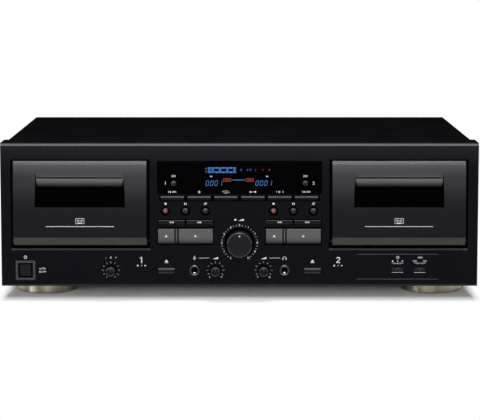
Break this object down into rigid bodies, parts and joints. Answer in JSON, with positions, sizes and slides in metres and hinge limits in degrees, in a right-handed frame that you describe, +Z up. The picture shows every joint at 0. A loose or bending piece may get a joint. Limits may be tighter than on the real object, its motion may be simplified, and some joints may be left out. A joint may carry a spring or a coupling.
{
  "type": "double cassette deck",
  "caption": "Full-width black cassette deck with a hinged cassette door at each side, a centre display and key block, a record level knob and round feet.",
  "frame": {"origin": "on the standing surface, under the middle of the deck's overall box", "axes": "+X to the right as seen from the front, +Y from front to back, +Z up; the front panel faces -Y"},
  "size_m": [0.435, 0.29, 0.145],
  "materials": {
    "panel": "satin black",
    "cover": "satin black paint",
    "steel": "zinc plated",
    "foot": "metallic champagne",
    "screw": "black",
    "smoke": "smoked, polished",
    "board": "solder resist",
    "socket": "black",
    "rubber": "matt",
    "door": "satin dark grey",
    "holder": "matt black",
    "key": "satin grey",
    "dark_key": "satin dark grey",
    "knob": "satin black",
    "metal": "polished",
    "motor": "plated",
    "brass": "turned"
  },
  "bodies": {
    "case": {"front_panel": "panel", "top_cover": "cover", "chassis": "steel", "feet": "foot", "case_screws": "screw", "display_window": "smoke", "control_board": "board", "main_board": "board", "audio_sockets": "socket", "cord_gland": "rubber", "transport_frames": "steel", "motors": "motor", "drive_belts": "rubber"},
    "door_1": {"door_1": "door", "door_window_1": "smoke", "cassette_holder_1": "holder"},
    "door_2": {"door_2": "door", "door_window_2": "smoke", "cassette_holder_2": "holder"},
    "power_button": {"power_button": "dark_key"},
    "eject_button_1": {"eject_button_1": "key"},
    "stop_button_1": {"stop_button_1": "key"},
    "play_button_1": {"play_button_1": "key"},
    "rewind_button_1": {"rewind_button_1": "key"},
    "forward_button_1": {"forward_button_1": "key"},
    "record_button_1": {"record_button_1": "key"},
    "pause_button_1": {"pause_button_1": "key"},
    "mute_button_1": {"mute_button_1": "key"},
    "counter_button_1": {"counter_button_1": "dark_key"},
    "eject_button_2": {"eject_button_2": "key"},
    "stop_button_2": {"stop_button_2": "key"},
    "play_button_2": {"play_button_2": "key"},
    "rewind_button_2": {"rewind_button_2": "key"},
    "forward_button_2": {"forward_button_2": "key"},
    "record_button_2": {"record_button_2": "key"},
    "pause_button_2": {"pause_button_2": "key"},
    "mute_button_2": {"mute_button_2": "key"},
    "counter_button_2": {"counter_button_2": "dark_key"},
    "zero_button_1": {"zero_button_1": "key"},
    "dimmer_button": {"dimmer_button": "key"},
    "repeat_button": {"repeat_button": "key"},
    "parallel_button": {"parallel_button": "key"},
    "dubbing_button": {"dubbing_button": "key"},
    "zero_button_2": {"zero_button_2": "key"},
    "rec_level_knob": {"rec_level_knob": "knob"},
    "mic_level_knob": {"mic_level_knob": "knob"},
    "phones_level_knob": {"phones_level_knob": "knob"},
    "pitch_knob": {"pitch_knob": "knob"},
    "timer_switch": {"timer_switch": "dark_key"},
    "noise_switch": {"noise_switch": "dark_key"},
    "supply_hub_1": {"supply_hub_1": "holder"},
    "takeup_hub_1": {"takeup_hub_1": "holder"},
    "capstan_1": {"capstan_1": "metal"},
    "motor_pulley_1": {"motor_pulley_1": "brass"},
    "head_carriage_1": {"head_carriage_1": "metal"},
    "supply_hub_2": {"supply_hub_2": "holder"},
    "takeup_hub_2": {"takeup_hub_2": "holder"},
    "capstan_2": {"capstan_2": "metal"},
    "motor_pulley_2": {"motor_pulley_2": "brass"},
    "head_carriage_2": {"head_carriage_2": "metal"}
  },
  "joints": [
    {"name": "door_1_hinge", "type": "hinge", "parent": "case", "child": "door_1", "pos_m": [-0.145, -0.1274, 0.0545], "axis": [1, 0, 0], "range_deg": [0, 30]},
    {"name": "door_2_hinge", "type": "hinge", "parent": "case", "child": "door_2", "pos_m": [0.145, -0.1274, 0.0545], "axis": [1, 0, 0], "range_deg": [0, 30]},
    {"name": "power_button_press", "type": "slide", "parent": "case", "child": "power_button", "axis": [0, 1, 0], "range_m": [0, 0.0015], "stiffness_N_per_m": 500, "springref_m": -0.0003},
    {"name": "eject_button_1_press", "type": "slide", "parent": "case", "child": "eject_button_1", "axis": [0, 1, 0], "range_m": [0, 0.0015], "stiffness_N_per_m": 300, "springref_m": -0.0003},
    {"name": "stop_button_1_press", "type": "slide", "parent": "case", "child": "stop_button_1", "axis": [0, 1, 0], "range_m": [0, 0.0015], "stiffness_N_per_m": 300, "springref_m": -0.0003},
    {"name": "play_button_1_press", "type": "slide", "parent": "case", "child": "play_button_1", "axis": [0, 1, 0], "range_m": [0, 0.0015], "stiffness_N_per_m": 300, "springref_m": -0.0003},
    {"name": "rewind_button_1_press", "type": "slide", "parent": "case", "child": "rewind_button_1", "axis": [0, 1, 0], "range_m": [0, 0.0015], "stiffness_N_per_m": 300, "springref_m": -0.0003},
    {"name": "forward_button_1_press", "type": "slide", "parent": "case", "child": "forward_button_1", "axis": [0, 1, 0], "range_m": [0, 0.0015], "stiffness_N_per_m": 300, "springref_m": -0.0003},
    {"name": "record_button_1_press", "type": "slide", "parent": "case", "child": "record_button_1", "axis": [0, 1, 0], "range_m": [0, 0.0015], "stiffness_N_per_m": 300, "springref_m": -0.0003},
    {"name": "pause_button_1_press", "type": "slide", "parent": "case", "child": "pause_button_1", "axis": [0, 1, 0], "range_m": [0, 0.0015], "stiffness_N_per_m": 300, "springref_m": -0.0003},
    {"name": "mute_button_1_press", "type": "slide", "parent": "case", "child": "mute_button_1", "axis": [0, 1, 0], "range_m": [0, 0.0015], "stiffness_N_per_m": 300, "springref_m": -0.0003},
    {"name": "counter_button_1_press", "type": "slide", "parent": "case", "child": "counter_button_1", "axis": [0, 1, 0], "range_m": [0, 0.0015], "stiffness_N_per_m": 300, "springref_m": -0.0003},
    {"name": "eject_button_2_press", "type": "slide", "parent": "case", "child": "eject_button_2", "axis": [0, 1, 0], "range_m": [0, 0.0015], "stiffness_N_per_m": 300, "springref_m": -0.0003},
    {"name": "stop_button_2_press", "type": "slide", "parent": "case", "child": "stop_button_2", "axis": [0, 1, 0], "range_m": [0, 0.0015], "stiffness_N_per_m": 300, "springref_m": -0.0003},
    {"name": "play_button_2_press", "type": "slide", "parent": "case", "child": "play_button_2", "axis": [0, 1, 0], "range_m": [0, 0.0015], "stiffness_N_per_m": 300, "springref_m": -0.0003},
    {"name": "rewind_button_2_press", "type": "slide", "parent": "case", "child": "rewind_button_2", "axis": [0, 1, 0], "range_m": [0, 0.0015], "stiffness_N_per_m": 300, "springref_m": -0.0003},
    {"name": "forward_button_2_press", "type": "slide", "parent": "case", "child": "forward_button_2", "axis": [0, 1, 0], "range_m": [0, 0.0015], "stiffness_N_per_m": 300, "springref_m": -0.0003},
    {"name": "record_button_2_press", "type": "slide", "parent": "case", "child": "record_button_2", "axis": [0, 1, 0], "range_m": [0, 0.0015], "stiffness_N_per_m": 300, "springref_m": -0.0003},
    {"name": "pause_button_2_press", "type": "slide", "parent": "case", "child": "pause_button_2", "axis": [0, 1, 0], "range_m": [0, 0.0015], "stiffness_N_per_m": 300, "springref_m": -0.0003},
    {"name": "mute_button_2_press", "type": "slide", "parent": "case", "child": "mute_button_2", "axis": [0, 1, 0], "range_m": [0, 0.0015], "stiffness_N_per_m": 300, "springref_m": -0.0003},
    {"name": "counter_button_2_press", "type": "slide", "parent": "case", "child": "counter_button_2", "axis": [0, 1, 0], "range_m": [0, 0.0015], "stiffness_N_per_m": 300, "springref_m": -0.0003},
    {"name": "zero_button_1_press", "type": "slide", "parent": "case", "child": "zero_button_1", "axis": [0, 1, 0], "range_m": [0, 0.0015], "stiffness_N_per_m": 300, "springref_m": -0.0003},
    {"name": "dimmer_button_press", "type": "slide", "parent": "case", "child": "dimmer_button", "axis": [0, 1, 0], "range_m": [0, 0.0015], "stiffness_N_per_m": 300, "springref_m": -0.0003},
    {"name": "repeat_button_press", "type": "slide", "parent": "case", "child": "repeat_button", "axis": [0, 1, 0], "range_m": [0, 0.0015], "stiffness_N_per_m": 300, "springref_m": -0.0003},
    {"name": "parallel_button_press", "type": "slide", "parent": "case", "child": "parallel_button", "axis": [0, 1, 0], "range_m": [0, 0.0015], "stiffness_N_per_m": 300, "springref_m": -0.0003},
    {"name": "dubbing_button_press", "type": "slide", "parent": "case", "child": "dubbing_button", "axis": [0, 1, 0], "range_m": [0, 0.0015], "stiffness_N_per_m": 300, "springref_m": -0.0003},
    {"name": "zero_button_2_press", "type": "slide", "parent": "case", "child": "zero_button_2", "axis": [0, 1, 0], "range_m": [0, 0.0015], "stiffness_N_per_m": 300, "springref_m": -0.0003},
    {"name": "rec_level_knob_turn", "type": "hinge", "parent": "case", "child": "rec_level_knob", "pos_m": [0, -0.131, 0.0535], "axis": [0, 1, 0], "range_deg": [-150, 150]},
    {"name": "mic_level_knob_turn", "type": "hinge", "parent": "case", "child": "mic_level_knob", "pos_m": [-0.022, -0.131, 0.0283], "axis": [0, 1, 0], "range_deg": [-120, 120]},
    {"name": "phones_level_knob_turn", "type": "hinge", "parent": "case", "child": "phones_level_knob", "pos_m": [0.022, -0.131, 0.0283], "axis": [0, 1, 0], "range_deg": [-120, 120]},
    {"name": "pitch_knob_turn", "type": "hinge", "parent": "case", "child": "pitch_knob", "pos_m": [-0.1175, -0.131, 0.0283], "axis": [0, 1, 0], "range_deg": [-150, 150]},
    {"name": "timer_switch_slide", "type": "slide", "parent": "case", "child": "timer_switch", "axis": [1, 0, 0], "range_m": [-0.0025, 0.0025]},
    {"name": "noise_switch_slide", "type": "slide", "parent": "case", "child": "noise_switch", "axis": [1, 0, 0], "range_m": [-0.0025, 0.0025]},
    {"name": "supply_hub_1_spin", "type": "hinge", "parent": "case", "child": "supply_hub_1", "pos_m": [-0.16625, -0.111, 0.0925], "axis": [0, 1, 0], "continuous": true},
    {"name": "takeup_hub_1_spin", "type": "hinge", "parent": "case", "child": "takeup_hub_1", "pos_m": [-0.12375, -0.111, 0.0925], "axis": [0, 1, 0], "continuous": true},
    {"name": "capstan_1_spin", "type": "hinge", "parent": "case", "child": "capstan_1", "pos_m": [-0.12, -0.111, 0.0645], "axis": [0, 1, 0], "continuous": true},
    {"name": "motor_pulley_1_spin", "type": "hinge", "parent": "case", "child": "motor_pulley_1", "pos_m": [-0.175, -0.111, 0.0645], "axis": [0, 1, 0], "continuous": true},
    {"name": "head_carriage_1_lift", "type": "slide", "parent": "case", "child": "head_carriage_1", "axis": [0, 0, 1], "range_m": [0, 0.006]},
    {"name": "supply_hub_2_spin", "type": "hinge", "parent": "case", "child": "supply_hub_2", "pos_m": [0.12375, -0.111, 0.0925], "axis": [0, 1, 0], "continuous": true},
    {"name": "takeup_hub_2_spin", "type": "hinge", "parent": "case", "child": "takeup_hub_2", "pos_m": [0.16625, -0.111, 0.0925], "axis": [0, 1, 0], "continuous": true},
    {"name": "capstan_2_spin", "type": "hinge", "parent": "case", "child": "capstan_2", "pos_m": [0.17, -0.111, 0.0645], "axis": [0, 1, 0], "continuous": true},
    {"name": "motor_pulley_2_spin", "type": "hinge", "parent": "case", "child": "motor_pulley_2", "pos_m": [0.115, -0.111, 0.0645], "axis": [0, 1, 0], "continuous": true},
    {"name": "head_carriage_2_lift", "type": "slide", "parent": "case", "child": "head_carriage_2", "axis": [0, 0, 1], "range_m": [0, 0.006]}
  ],
  "couplings": [
    {"joint": "motor_pulley_1_spin", "follows": "capstan_1_spin", "ratio": 4.4653},
    {"joint": "motor_pulley_2_spin", "follows": "capstan_2_spin", "ratio": 4.4653}
  ]
}
